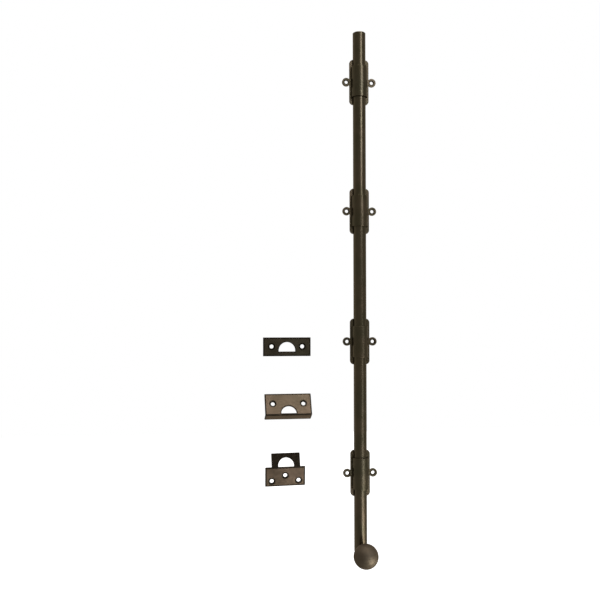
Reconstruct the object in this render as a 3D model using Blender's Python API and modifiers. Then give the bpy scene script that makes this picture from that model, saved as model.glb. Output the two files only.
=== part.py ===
"""Surface bolt with a half-round rod, four guides and three strikes.

World axes: +Z up along the rod towards its locking end, -Y out of the wall
towards the viewer, +X to the viewer's right.  The origin is the centre of the
top guide's mounting face, and the wall or door is the plane y = 0.
All sizes are in metres.
"""
import math

import bmesh
import bpy

# ---- driving dimensions -----------------------------------------------------
GAP = 0.0003                      # room left between pieces that touch

GUIDE_COUNT = 4
GUIDE_PITCH = 0.2625
FLANGE_WIDTH = 0.0395
FLANGE_HEIGHT = 0.092
FLANGE_CORNER = 0.008
FLANGE_THICKNESS = 0.004
TRACK_DEPTH = 0.0002              # shallow machined track that the rod runs on
EAR_OFFSET = 0.0261               # ear centre from the guide's middle line
EAR_RADIUS = 0.0085
EAR_HOLE_RADIUS = 0.0034
EAR_SINK_RADIUS = 0.0050
SLEEVE_LENGTH = 0.062
SLEEVE_WALL = 0.0027

ROD_RADIUS = 0.013
ROD_SHOULDER = 0.001              # straight sides between the flat back and the round
ROD_TOP = 0.1005
ROD_CHAMFER = 0.0016
ROD_CLEARANCE = 0.0004
ROD_BACK = FLANGE_THICKNESS - TRACK_DEPTH + GAP
ROD_CENTRE = ROD_BACK + ROD_SHOULDER
ROD_FRONT = ROD_CENTRE + ROD_RADIUS

KNOB_DROP = 0.9391                # knob axis below the origin
BALL_RADIUS = 0.0243
BALL_CENTRE = 0.0545              # ball centre out from the wall
NECK_RADIUS = 0.0060
NECK_BASE_RADIUS = 0.0082
NECK_SEAT = ROD_FRONT - 0.0018    # flat spot milled on the rod under the neck
SPIGOT_DEPTH = 0.0062
SCREW_RADIUS = 0.0030
SCREW_HEAD_RADIUS = 0.0058
SCREW_BORE_RADIUS = 0.0034
SCREW_REACH = 0.0460

POCKET_FLOOR = 0.0016             # material left under the spring pocket
POCKET_HALF_LENGTH = 0.024
POCKET_RADIUS = 0.005
SPRING_WIDTH = 0.008
SPRING_THICKNESS = 0.0006
SPRING_HALF_LENGTH = 0.0205
SPRING_FLAT_END = -0.0135         # the riveted end lies flat up to here
RIVET_DROP = 0.0170
RIVET_RADIUS = 0.0014
RIVET_HEAD_RADIUS = 0.0026
RIVET_TAIL_RADIUS = 0.0022
RIVET_SHOULDER = 0.0011           # height over the wall where the hole starts to widen

THROW = 0.038                     # how far the rod draws back
STOP_GUIDE = 1                    # index of the guide whose slot holds the stop pin
STOP_OFFSET = 0.0092
STOP_RADIUS = 0.0020
STOP_DEPTH = 0.0095
SLOT_RADIUS = STOP_RADIUS + GAP

STRIKE_THICKNESS = 0.0032
STRIKE_CORNER = 0.0008
STRIKE_HOLE_RADIUS = 0.0040
STRIKE_SINK_RADIUS = 0.0056
# A window is (radius, straight side under the half circle, centre of the circle).

FLAT_WIDTH = 0.0950
FLAT_HEIGHT = 0.0372
FLAT_PLACE = (-0.1474, -0.5350)
FLAT_WINDOW = (0.0166, 0.0021, (0, -0.0073))
FLAT_HOLES = ((-0.0306, 0.0006), (0.0306, 0.0006))

ANGLE_WIDTH = 0.0926
ANGLE_LEG = 0.0452
ANGLE_LIP = 0.0243
ANGLE_BEND = 0.0036               # outer radius of the bend
ANGLE_PLACE = (-0.1461, -0.6679)
ANGLE_TURN = math.radians(-0.2)
ANGLE_WINDOW = (0.0152, 0.0003, (0.0006, 0.0043))
ANGLE_HOLES = ((-0.0303, 0.0244), (0.0303, 0.0244))

TEE_WIDTH = 0.0793
TEE_HEIGHT = 0.0392
TEE_LEAN = math.radians(12)       # the plate's foot is tipped back towards the wall
TEE_PLACE = (-0.1517, -0.7712)
TEE_TURN = math.radians(-1.0)
TEE_HOLES = ((0, -0.0172), (-0.0266, -0.0283), (0.0266, -0.0283))
TONGUE_WIDTH = 0.0569
TONGUE_HEIGHT = 0.0279
TONGUE_LEAN = math.radians(14)    # and so is the tongue's top
TONGUE_PLACE = (0.0015, 0.0006)   # right of the plate's middle, and behind its front
TONGUE_SUNK = 0.0012              # how far the tongue runs down behind the plate
TONGUE_WINDOW = (0.0156, 0.0026, (0.0004, 0.0032))

ARC_STEPS = 20                    # segments in a half circle
SMALL_STEPS = 20                  # segments round a screw hole
TURN_STEPS = 32                   # segments round a turned piece
RIVET_STEPS = 16
WELD = 0.00001

FRONT = (math.radians(90), 0, 0)                     # local x, y, z to x, z, -y
SIDEWAYS = (math.radians(90), 0, math.radians(90))   # local x, y, z to y, z, x
PLAN = (0, 0, 0)                                     # local x, y, z as they are


# ---- scene and materials ----------------------------------------------------
def start_scene():
    for obj in list(bpy.data.objects):
        bpy.data.objects.remove(obj)
    for name in ("surface_bolt", "cutters"):
        collection = bpy.data.collections.new(name)
        bpy.context.scene.collection.children.link(collection)


def add_material(obj, colour, roughness, metallic=1.0):
    material = bpy.data.materials.new(obj.name + "_finish")
    material.use_nodes = True
    shader = material.node_tree.nodes["Principled BSDF"]
    shader.inputs["Base Color"].default_value = (*colour, 1.0)
    shader.inputs["Roughness"].default_value = roughness
    shader.inputs["Metallic"].default_value = metallic
    obj.data.materials.clear()
    obj.data.materials.append(material)
    material.diffuse_color = (*colour, 1.0)


BRONZE = (0.045, 0.034, 0.022)
DARK_BRONZE = (0.026, 0.021, 0.015)
WARM_BRONZE = (0.13, 0.095, 0.065)
SPRING_STEEL = (0.35, 0.33, 0.30)


def link(obj, cutter=False):
    bpy.data.collections["cutters" if cutter else "surface_bolt"].objects.link(obj)
    if cutter:
        obj.hide_render = True
        obj.display_type = "WIRE"


# ---- outlines: lists of points ----------------------------------------------
def arc(centre, radius, start, end, steps):
    points = []
    for i in range(steps + 1):
        angle = math.radians(start + (end - start) * i / steps)
        points.append((centre[0] + radius * math.cos(angle), centre[1] + radius * math.sin(angle)))
    return points


def circle(centre, radius, steps=SMALL_STEPS):
    return arc(centre, radius, 0, 360, steps)[:-1]


def rectangle(width, height, corner, centre=(0, 0)):
    """Rectangle with rounded corners, counter-clockwise from the lower right."""
    x = width / 2 - corner
    y = height / 2 - corner
    points = []
    for sx, sy, start in ((1, -1, -90), (1, 1, 0), (-1, 1, 90), (-1, -1, 180)):
        points += arc((centre[0] + sx * x, centre[1] + sy * y), corner, start, start + 90, 5)
    return points


def stadium(radius, half_length):
    """Slot outline with its long way along the second axis."""
    reach = half_length - radius
    return arc((0, reach), radius, 0, 180, 8) + arc((0, -reach), radius, 180, 360, 8)


def half_round(radius, straight, centre, facing=1, steps=ARC_STEPS):
    """A half circle on short straight sides; centre is the circle's."""
    start = 0 if facing > 0 else 180
    points = arc(centre, radius, start, start + 180, steps)
    low = centre[1] - facing * straight
    points.append((points[-1][0], low))
    points.append((points[0][0], low))
    return points


# ---- solids -----------------------------------------------------------------
def extruded(name, loops, thickness, turn, place=(0, 0, 0), cutter=False):
    """A flat outline of one outer loop and any holes, given a thickness."""
    curve = bpy.data.curves.new(name, "CURVE")
    curve.dimensions = "2D"
    curve.fill_mode = "BOTH"
    curve.extrude = thickness / 2
    for loop in loops:
        spline = curve.splines.new("POLY")
        spline.points.add(len(loop) - 1)
        for point, (x, y) in zip(spline.points, loop):
            point.co = (x, y, 0, 1)
        spline.use_cyclic_u = True
        spline.use_smooth = False
    outline = bpy.data.objects.new(name, curve)
    bpy.context.scene.collection.objects.link(outline)
    evaluated = outline.evaluated_get(bpy.context.evaluated_depsgraph_get())
    mesh = bpy.data.meshes.new_from_object(evaluated)
    mesh.transform(outline.matrix_world)
    bpy.data.objects.remove(outline)
    tidy = bmesh.new()
    tidy.from_mesh(mesh)
    bmesh.ops.remove_doubles(tidy, verts=tidy.verts, dist=WELD)
    bmesh.ops.recalc_face_normals(tidy, faces=tidy.faces)
    tidy.to_mesh(mesh)
    tidy.free()
    obj = bpy.data.objects.new(name, mesh)
    obj.rotation_euler = turn
    obj.location = place
    link(obj, cutter)
    return obj


def turned(name, profile, place=(0, 0), cutter=False, closed=False, steps=TURN_STEPS):
    """A profile of (radius, height over the wall) turned about an axis along Y."""
    mesh = bpy.data.meshes.new(name)
    last = len(profile) - 1
    edges = [(i, i + 1) for i in range(last)]
    if closed:
        edges.append((last, 0))
    mesh.from_pydata([(radius, 0, height) for radius, height in profile], edges, [])
    obj = bpy.data.objects.new(name, mesh)
    screw = obj.modifiers.new("turn", "SCREW")
    screw.axis = "Z"
    screw.steps = steps
    screw.render_steps = steps
    screw.use_merge_vertices = True
    screw.merge_threshold = WELD
    obj.rotation_euler = FRONT
    obj.location = (place[0], 0, place[1])
    link(obj, cutter)
    return obj


def soften_rim(obj, chosen, width, segments=1):
    """Bevel the sharp edges that the chosen test picks, in the object's own axes."""
    shape = bmesh.new()
    shape.from_mesh(obj.data)
    bmesh.ops.dissolve_limit(shape, angle_limit=math.radians(0.2), verts=shape.verts, edges=shape.edges)
    rim = []
    for edge in shape.edges:
        sharp = edge.calc_face_angle(0) > math.radians(40)
        if sharp and all(chosen(vert.co) for vert in edge.verts):
            rim.append(edge)
    bmesh.ops.bevel(shape, geom=rim, offset=width, segments=segments, profile=0.5, affect="EDGES",
                    clamp_overlap=True)
    shape.to_mesh(obj.data)
    shape.free()


def combine(obj, tool, operation="DIFFERENCE"):
    modifier = obj.modifiers.new(operation.lower() + "_" + tool.name, "BOOLEAN")
    modifier.operation = operation
    modifier.object = tool


def settle(obj):
    """Turn an object's modifiers and transform into a plain mesh in world axes."""
    bpy.context.view_layer.update()
    evaluated = obj.evaluated_get(bpy.context.evaluated_depsgraph_get())
    mesh = bpy.data.meshes.new_from_object(evaluated)
    mesh.transform(obj.matrix_world)
    return mesh


def smooth(obj):
    obj.data.shade_smooth()
    obj.data.set_sharp_from_angle(angle=math.radians(35))


# ---- guides -----------------------------------------------------------------
def flange_outline():
    """Rounded plate with a round ear on each side, counter-clockwise."""
    x = FLANGE_WIDTH / 2 - FLANGE_CORNER
    z = FLANGE_HEIGHT / 2 - FLANGE_CORNER
    open_angle = 180 - math.degrees(math.acos((EAR_OFFSET - FLANGE_WIDTH / 2) / EAR_RADIUS))
    points = arc((x, -z), FLANGE_CORNER, -90, 0, 6)
    points += arc((EAR_OFFSET, 0), EAR_RADIUS, -open_angle, open_angle, 22)
    points += arc((x, z), FLANGE_CORNER, 0, 90, 6)
    points += arc((-x, z), FLANGE_CORNER, 90, 180, 6)
    points += arc((-EAR_OFFSET, 0), EAR_RADIUS, 180 - open_angle, 180 + open_angle, 22)
    points += arc((-x, -z), FLANGE_CORNER, 180, 270, 6)
    return points


def guide_mesh():
    """The casting: flange, ears and sleeve, with the rod's tunnel cut through."""
    ears = [circle((side * EAR_OFFSET, 0), EAR_HOLE_RADIUS) for side in (-1, 1)]
    body = extruded("guide_casting", [flange_outline()] + ears, FLANGE_THICKNESS, FRONT,
                    (0, -FLANGE_THICKNESS / 2, 0))
    front = FLANGE_THICKNESS / 2
    soften_rim(body, lambda co: co.z > front - WELD
               and abs(math.hypot(abs(co.x) - EAR_OFFSET, co.y) - EAR_HOLE_RADIUS) > 0.0002, 0.0007)

    bore = ROD_RADIUS + ROD_CLEARANCE
    overlap = 0.001
    sleeve = extruded("sleeve", [half_round(bore + SLEEVE_WALL,
                                            ROD_CENTRE - FLANGE_THICKNESS + overlap,
                                            (0, -ROD_CENTRE), facing=-1, steps=24)],
                      SLEEVE_LENGTH, PLAN, cutter=True)
    end = SLEEVE_LENGTH / 2
    soften_rim(sleeve, lambda co: abs(co.z) > end - WELD and co.y < -FLANGE_THICKNESS, 0.0009)
    combine(body, sleeve, "UNION")

    tunnel = extruded("tunnel", [half_round(bore, ROD_SHOULDER + GAP, (0, -ROD_CENTRE), facing=-1,
                                            steps=24)],
                      FLANGE_HEIGHT + 0.01, PLAN, cutter=True)
    combine(body, tunnel)

    depth = 0.006
    for name, radius, half_length, x in (
            ("spring_pocket", POCKET_RADIUS, POCKET_HALF_LENGTH, 0),
            ("stop_slot", SLOT_RADIUS, THROW / 2 + SLOT_RADIUS, STOP_OFFSET)):
        groove = extruded(name, [stadium(radius, half_length)], depth, FRONT,
                          (x, -POCKET_FLOOR - depth / 2, 0), cutter=True)
        combine(body, groove)

    sunk = FLANGE_THICKNESS - (EAR_SINK_RADIUS - EAR_HOLE_RADIUS)
    top = FLANGE_THICKNESS + 0.001
    sink = [(0, top), (EAR_SINK_RADIUS + 0.001, top), (EAR_HOLE_RADIUS, sunk), (0, sunk)]
    for side in (-1, 1):
        combine(body, turned("ear_sink", sink, (side * EAR_OFFSET, 0), cutter=True,
                             steps=SMALL_STEPS))

    wide = RIVET_TAIL_RADIUS + GAP * 2
    narrow = RIVET_RADIUS + GAP
    rivet_hole = [(0, 0.003), (narrow, 0.003), (narrow, RIVET_SHOULDER), (wide, -0.0002),
                  (0, -0.0002)]
    combine(body, turned("rivet_hole", rivet_hole, (0, -RIVET_DROP), cutter=True,
                         steps=RIVET_STEPS))

    mesh = settle(body)
    bpy.data.objects.remove(body)
    return mesh


def spring_mesh():
    """Bowed leaf spring, flat at its riveted end, with the hole for its rivet."""
    low = POCKET_FLOOR + GAP
    rise = ROD_BACK - GAP - SPRING_THICKNESS - low
    steps = 24
    lower = []
    for i in range(steps + 1):
        z = -SPRING_HALF_LENGTH + 2 * SPRING_HALF_LENGTH * i / steps
        along = (z - SPRING_FLAT_END) / (SPRING_HALF_LENGTH - 0.001 - SPRING_FLAT_END)
        bow = math.sin(math.pi * min(max(along, 0), 1)) ** 2
        lower.append((-low - rise * bow, z))
    upper = [(y - SPRING_THICKNESS, z) for y, z in reversed(lower)]
    spring = extruded("spring_leaf", [lower + upper], SPRING_WIDTH, SIDEWAYS)

    rivet_hole = circle((0, -RIVET_DROP), RIVET_RADIUS + GAP, RIVET_STEPS)
    combine(spring, extruded("spring_hole", [rivet_hole], 0.01, FRONT, cutter=True))
    mesh = settle(spring)
    bpy.data.objects.remove(spring)
    return mesh


def rivet_profile():
    under = POCKET_FLOOR + 2 * GAP + SPRING_THICKNESS
    head = under + 0.0008
    tail = 0.0002
    return [(0, head), (RIVET_HEAD_RADIUS * 0.7, head), (RIVET_HEAD_RADIUS, under + 0.0004),
            (RIVET_HEAD_RADIUS, under), (RIVET_RADIUS, under), (RIVET_RADIUS, RIVET_SHOULDER),
            (RIVET_TAIL_RADIUS, tail), (0, tail)]


def add_copies(name, mesh, colour, roughness):
    """One object for each guide's place, all with the same mesh."""
    for i in range(GUIDE_COUNT):
        obj = bpy.data.objects.new("%s_%d" % (name, i + 1), mesh)
        obj.location = (0, 0, -i * GUIDE_PITCH)
        link(obj)
    smooth(obj)
    add_material(obj, colour, roughness)


def add_guides():
    add_copies("guide", guide_mesh(), BRONZE, 0.42)
    add_copies("friction_spring", spring_mesh(), SPRING_STEEL, 0.35)
    for i in range(GUIDE_COUNT):
        rivet = turned("spring_rivet_%d" % (i + 1), rivet_profile(),
                       (0, -i * GUIDE_PITCH - RIVET_DROP), steps=RIVET_STEPS)
        smooth(rivet)
        add_material(rivet, SPRING_STEEL, 0.4)


# ---- rod, knob and stop pin -------------------------------------------------
def add_rod():
    bottom = -KNOB_DROP - ROD_RADIUS
    length = ROD_TOP - bottom
    rod = extruded("rod", [half_round(ROD_RADIUS, ROD_SHOULDER, (0, -ROD_CENTRE), facing=-1)],
                   length, PLAN, (0, 0, (ROD_TOP + bottom) / 2))
    soften_rim(rod, lambda co: co.z > length / 2 - WELD, ROD_CHAMFER, 2)

    margin = 0.00005
    corner = arc((0, -KNOB_DROP), ROD_RADIUS + margin, 180, 360, ARC_STEPS)
    side = ROD_RADIUS + 0.004
    foot = bottom - 0.004
    corner += [(side, -KNOB_DROP), (side, foot), (-side, foot), (-side, -KNOB_DROP)]
    combine(rod, extruded("rod_end", [corner], 0.05, FRONT, cutter=True))

    seat = [(0, 0.03), (NECK_BASE_RADIUS + GAP, 0.03), (NECK_BASE_RADIUS + GAP, NECK_SEAT),
            (0, NECK_SEAT)]
    combine(rod, turned("neck_seat", seat, (0, -KNOB_DROP), cutter=True))
    cone_top = ROD_BACK + GAP + (SCREW_HEAD_RADIUS - SCREW_RADIUS) + 0.0001
    spread = SCREW_BORE_RADIUS + (cone_top - ROD_BACK)
    bore = [(0, 0.03), (SCREW_BORE_RADIUS, 0.03), (SCREW_BORE_RADIUS, cone_top),
            (spread + 0.001, ROD_BACK - 0.001), (0, ROD_BACK - 0.001)]
    combine(rod, turned("screw_bore", bore, (0, -KNOB_DROP), cutter=True, steps=SMALL_STEPS))

    pin_hole = [(0, STOP_DEPTH + GAP), (STOP_RADIUS + GAP, STOP_DEPTH + GAP),
                (STOP_RADIUS + GAP, 0.001), (0, 0.001)]
    pin_height = -STOP_GUIDE * GUIDE_PITCH + THROW / 2
    combine(rod, turned("pin_hole", pin_hole, (STOP_OFFSET, pin_height), cutter=True,
                        steps=RIVET_STEPS))
    smooth(rod)
    add_material(rod, BRONZE, 0.36)

    tip = POCKET_FLOOR + 0.0004
    pin = [(0, STOP_DEPTH), (STOP_RADIUS, STOP_DEPTH), (STOP_RADIUS, tip), (0, tip)]
    stop = turned("stop_pin", pin, (STOP_OFFSET, pin_height), steps=RIVET_STEPS)
    smooth(stop)
    add_material(stop, SPRING_STEEL, 0.35)


def add_knob():
    socket = NECK_RADIUS + GAP
    mouth = BALL_CENTRE - math.sqrt(BALL_RADIUS ** 2 - socket ** 2)
    socket_end = mouth + SPIGOT_DEPTH + GAP
    bore = SCREW_RADIUS + GAP
    bore_end = SCREW_REACH + GAP
    last = -math.degrees(math.acos(socket / BALL_RADIUS))
    profile = arc((0, BALL_CENTRE), BALL_RADIUS, 90, last, 20)
    profile[0] = (0, BALL_CENTRE + BALL_RADIUS)
    profile += [(socket, socket_end), (bore, socket_end), (bore, bore_end), (0, bore_end)]
    ball = turned("knob_ball", profile, (0, -KNOB_DROP), steps=40)
    smooth(ball)
    add_material(ball, BRONZE, 0.34)

    top = mouth - GAP
    foot = NECK_SEAT + GAP
    profile = [(NECK_RADIUS, mouth + SPIGOT_DEPTH), (NECK_RADIUS, top), (0.0076, top)]
    waist_steps = 8
    for i in range(waist_steps + 1):
        along = i / waist_steps
        bulge = abs(2 * along - 0.9) ** 2
        height = top - 0.0006 + (foot + 0.0016 - top + 0.0006) * along
        profile.append((NECK_RADIUS + (NECK_BASE_RADIUS - NECK_RADIUS) * min(bulge, 1), height))
    profile += [(NECK_BASE_RADIUS, foot), (SCREW_BORE_RADIUS, foot),
                (SCREW_BORE_RADIUS, mouth + SPIGOT_DEPTH)]
    neck = turned("knob_neck", profile, (0, -KNOB_DROP), closed=True)
    smooth(neck)
    add_material(neck, BRONZE, 0.38)

    head = ROD_BACK + GAP
    profile = [(0, SCREW_REACH), (SCREW_RADIUS * 0.8, SCREW_REACH),
               (SCREW_RADIUS, SCREW_REACH - 0.0006),
               (SCREW_RADIUS, head + SCREW_HEAD_RADIUS - SCREW_RADIUS),
               (SCREW_HEAD_RADIUS, head), (0, head)]
    screw = turned("knob_screw", profile, (0, -KNOB_DROP), steps=SMALL_STEPS)
    slot = extruded("screw_slot", [rectangle(0.0012, 0.02, 0.0001)], 0.003, FRONT,
                    (0, -head + 0.0002, -KNOB_DROP), cutter=True)
    combine(screw, slot)
    smooth(screw)
    add_material(screw, SPRING_STEEL, 0.35)


# ---- strikes ----------------------------------------------------------------
def strike_frame(name, place, turn=0, lean=0):
    """An empty that carries a strike's own axes; lean tips its top back towards the wall."""
    frame = bpy.data.objects.new(name, None)
    frame.rotation_euler = (-lean, turn, 0)
    frame.location = place
    link(frame)
    return frame


def strike_plate(name, loops, frame, cutter=False):
    """A plate whose front face is at height 0 in its frame."""
    plate = extruded(name, loops, STRIKE_THICKNESS, FRONT, (0, STRIKE_THICKNESS / 2, 0), cutter)
    plate.parent = frame
    return plate


def cut_sunk_holes(plate, places, frame):
    over = 0.001
    through = -0.01
    rise = STRIKE_SINK_RADIUS - STRIKE_HOLE_RADIUS
    profile = [(0, over), (STRIKE_SINK_RADIUS + over, over), (STRIKE_HOLE_RADIUS, -rise),
               (STRIKE_HOLE_RADIUS, through), (0, through)]
    for place in places:
        hole = turned(plate.name + "_hole", profile, place, cutter=True, steps=SMALL_STEPS)
        hole.parent = frame
        combine(plate, hole)


def add_flat_strike():
    x, z = FLAT_PLACE
    frame = strike_frame("flat_strike_frame", (x, -STRIKE_THICKNESS, z))
    loops = [rectangle(FLAT_WIDTH, FLAT_HEIGHT, STRIKE_CORNER), half_round(*FLAT_WINDOW)]
    plate = strike_plate("flat_strike", loops, frame)
    front = STRIKE_THICKNESS / 2
    edge = FLAT_HEIGHT / 2 - 0.001
    side = FLAT_WIDTH / 2 - 0.001
    soften_rim(plate, lambda co: co.z > front - WELD and (abs(co.y) > edge or abs(co.x) > side),
               0.0008)
    cut_sunk_holes(plate, FLAT_HOLES, frame)
    add_material(plate, DARK_BRONZE, 0.45)


def add_angle_strike():
    """Right-angle strike lying on its two long edges, with its bend outermost."""
    t = STRIKE_THICKNESS
    lean = math.atan((ANGLE_LIP - t) / (ANGLE_LEG - t))
    depth = ANGLE_LEG * math.sin(lean) + t * math.cos(lean) + GAP
    x, z = ANGLE_PLACE
    frame = strike_frame("angle_strike_frame", (x, -depth, z), ANGLE_TURN, lean)

    loop = [(0, ANGLE_LEG)]
    loop += arc((ANGLE_BEND, ANGLE_BEND), ANGLE_BEND, 180, 270, 5)
    loop += [(ANGLE_LIP, 0), (ANGLE_LIP, t), (t, t), (t, ANGLE_LEG)]
    angle = extruded("angle_strike", [loop], ANGLE_WIDTH, SIDEWAYS)
    angle.parent = frame
    soften_rim(angle, lambda co: abs(co.z) > ANGLE_WIDTH / 2 - WELD, 0.0005)

    window = extruded("angle_window", [half_round(*ANGLE_WINDOW)], 0.02, FRONT, cutter=True)
    window.parent = frame
    combine(angle, window)
    cut_sunk_holes(angle, ANGLE_HOLES, frame)
    add_material(angle, WARM_BRONZE, 0.42)


def add_universal_strike():
    """A tongue with the window above a wider three-hole plate, bent at the line between them."""
    t = STRIKE_THICKNESS
    depth = TEE_HEIGHT * math.sin(TEE_LEAN) + t * math.cos(TEE_LEAN)
    x, z = TEE_PLACE
    frame = strike_frame("universal_strike_frame", (x, -depth, z), TEE_TURN)
    tongue_frame = strike_frame("tongue_frame", (*TONGUE_PLACE, 0), lean=TONGUE_LEAN)
    tongue_frame.parent = frame
    tee_frame = strike_frame("tee_frame", (0, 0, 0), lean=-TEE_LEAN)
    tee_frame.parent = frame

    tall = TONGUE_HEIGHT + TONGUE_SUNK
    loops = [rectangle(TONGUE_WIDTH, tall, STRIKE_CORNER, (0, TONGUE_HEIGHT - tall / 2)),
             half_round(*TONGUE_WINDOW)]
    tongue = strike_plate("universal_strike", loops, tongue_frame)
    front = t / 2
    edge = TONGUE_WIDTH / 2 - 0.001
    top = TONGUE_HEIGHT - 0.001
    soften_rim(tongue, lambda co: co.z > front - WELD and (abs(co.x) > edge or co.y > top), 0.0006)

    loops = [rectangle(TEE_WIDTH, TEE_HEIGHT, STRIKE_CORNER, (0, -TEE_HEIGHT / 2))]
    tee = strike_plate("tee_plate", loops, tee_frame, cutter=True)
    soften_rim(tee, lambda co: co.z > front - WELD, 0.0006)
    cut_sunk_holes(tee, TEE_HOLES, tee_frame)
    combine(tongue, tee, "UNION")
    add_material(tongue, WARM_BRONZE, 0.42)


start_scene()
add_guides()
add_rod()
add_knob()
add_flat_strike()
add_angle_strike()
add_universal_strike()
bpy.context.view_layer.update()
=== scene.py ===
"""Looks of the surface bolt: fine meshes and aged-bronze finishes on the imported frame.

Axes as in the frame: +Z up along the rod, -Y out of the wall towards the viewer,
+X to the viewer's right.  All sizes are in metres.
"""
import math

import bmesh
import bpy
from mathutils import Matrix, Vector


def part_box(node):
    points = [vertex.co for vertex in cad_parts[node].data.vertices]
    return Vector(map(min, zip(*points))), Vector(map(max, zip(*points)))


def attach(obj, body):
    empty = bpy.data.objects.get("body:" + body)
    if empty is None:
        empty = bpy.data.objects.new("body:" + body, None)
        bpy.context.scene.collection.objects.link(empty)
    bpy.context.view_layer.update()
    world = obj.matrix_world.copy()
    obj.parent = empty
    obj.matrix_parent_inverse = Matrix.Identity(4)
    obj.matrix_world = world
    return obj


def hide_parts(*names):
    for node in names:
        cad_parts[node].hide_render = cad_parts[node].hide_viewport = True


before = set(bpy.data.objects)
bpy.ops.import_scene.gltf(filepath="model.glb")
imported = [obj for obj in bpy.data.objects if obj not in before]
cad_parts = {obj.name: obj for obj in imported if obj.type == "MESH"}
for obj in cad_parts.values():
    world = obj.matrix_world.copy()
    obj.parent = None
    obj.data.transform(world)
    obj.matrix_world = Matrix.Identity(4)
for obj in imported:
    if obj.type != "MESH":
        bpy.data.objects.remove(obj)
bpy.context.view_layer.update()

# ---- sizes read from the frame ----------------------------------------------
NUMBERS = (1, 2, 3, 4)                  # of the guides, each with its own spring and rivet
GUIDES = ["guide_%d" % number for number in NUMBERS]
guide_low, guide_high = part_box("guide_1")
rod_low, rod_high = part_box("rod")
ball_low, ball_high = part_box("knob_ball")
_, neck_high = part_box("knob_neck")
flat_low, flat_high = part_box("flat_strike")

ROD_RADIUS = rod_high.x
ROD_BACK = -rod_high.y                  # heights are measured out from the wall
ROD_FRONT = -rod_low.y
ROD_CENTRE = ROD_FRONT - ROD_RADIUS
SLEEVE_RADIUS = -guide_low.y - ROD_CENTRE
BALL_RADIUS = (ball_high.x - ball_low.x) / 2
BALL_CENTRE = -ball_low.y - BALL_RADIUS
KNOB_HEIGHT = (ball_high.z + ball_low.z) / 2
NECK_FOOT = -neck_high.y

# ---- sizes that the frame's boxes do not give --------------------------------
GAP = 0.0003
FLANGE_THICKNESS = 0.004
FLANGE_WIDTH = 0.0395
FLANGE_CORNER = 0.008
EAR_RADIUS = 0.0085
EAR_OFFSET = guide_high.x - EAR_RADIUS
EAR_HOLE_RADIUS = 0.0034
EAR_SINK = 0.0016
SLEEVE_LENGTH = 0.062
SLEEVE_FLARE = 0.0013                   # cast fillet where the sleeve meets the flange
SLEEVE_SUNK = 0.0004                    # how far the sleeve's foot goes down into the flange
SLEEVE_EDGE = 0.0022                    # roundings of the sleeve, the flange's front and its back
FLANGE_EDGE = 0.0008
BACK_EDGE = 0.0002
ROD_CLEARANCE = 0.0002
TRACK_HEIGHT = ROD_BACK - GAP           # floor of the track that the rod runs on
POCKET_FLOOR = 0.0016
POCKET_RADIUS = 0.005
POCKET_HALF_LENGTH = 0.024
POCKET_DEPTH = 0.006                    # of the cutting tools, which reach up into the tunnel
THROW = 0.038
SLOT_RADIUS = 0.0023
SLOT_OFFSET = 0.0092
RIVET_DROP = 0.0170                     # the spring's rivet sits this far below the guide's middle
RIVET_HOLE = ((0, 0.003), (0.0017, 0.003), (0.0017, 0.0011), (0.0028, -0.0002), (0, -0.0002))
ROD_CHAMFER = 0.0016                    # at the locking end
ROD_EDGE = 0.0004
PAST = 0.004                            # how far a cutting tool passes the piece it cuts
CLEAR = 0.001                           # how far a tool for a hole stands clear of the face
TUNNEL_EXTRA = 0.01
ROD_END_TOOL = 0.06
WINDOW_TOOL = 0.02
HOLE_TOOL = 0.01
ABOVE_ROD = 0.03                        # a height that is clear of the rod's front
NECK_RADIUS = 0.0060
NECK_BASE_RADIUS = 0.0082
COLLAR_RADIUS = 0.0076
SCREW_BORE_RADIUS = 0.0034
SCREW_HEAD = 0.0029                     # depth of the screw's countersunk head
SPIGOT_LENGTH = 0.0062                  # of the neck's end that sits in the ball
BALL_BORE_RADIUS = 0.0033
BALL_BORE_END = 0.0463                  # height over the wall
BALL_MOUTH = 1.2                        # degrees of the ball cut away round the mouth
MOUTH_EDGE = 0.0003
NECK_EDGE = 0.0004
NECK_FOOT_EDGE = 0.0002
NECK_RIM = 0.0012                       # height of the base's rounding over the neck's foot
WAIST_TOP = 0.0012                      # the waist ends this far from the neck's two ends
WAIST_FOOT = 0.0016
STRIKE_THICKNESS = 0.0032
STRIKE_HOLE_RADIUS = 0.0040
STRIKE_SINK_RADIUS = 0.0056
STRIKE_CORNER = 0.0010
WARM_EDGE = 0.0015                      # rounding of the angle strike and the tee's plate
TONGUE_EDGE = 0.0009

FLAT_HEIGHT = 0.0372
FLAT_CORNER = 0.0008
FLAT_EDGE = 0.0013                      # rounding of the outline in front; all other edges are finer
FLAT_INNER_EDGE = 0.00025
FLAT_WINDOW = ((0, -0.0073), 0.0166, 0.0021)      # a window's centre, radius and straight side
FLAT_HOLES = ((-0.0306, 0.0006), (0.0306, 0.0006))

ANGLE_WIDTH = 0.0926
ANGLE_LEG = 0.0452
ANGLE_LIP = 0.0243
ANGLE_BEND = 0.0036                     # outer radius of the bend
ANGLE_PLACE = (-0.1461, -0.6679)
ANGLE_TURN = math.radians(-0.2)
ANGLE_WINDOW = ((0.0006, 0.0043), 0.0152, 0.0003)
ANGLE_HOLES = ((-0.0303, 0.0244), (0.0303, 0.0244))

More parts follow.
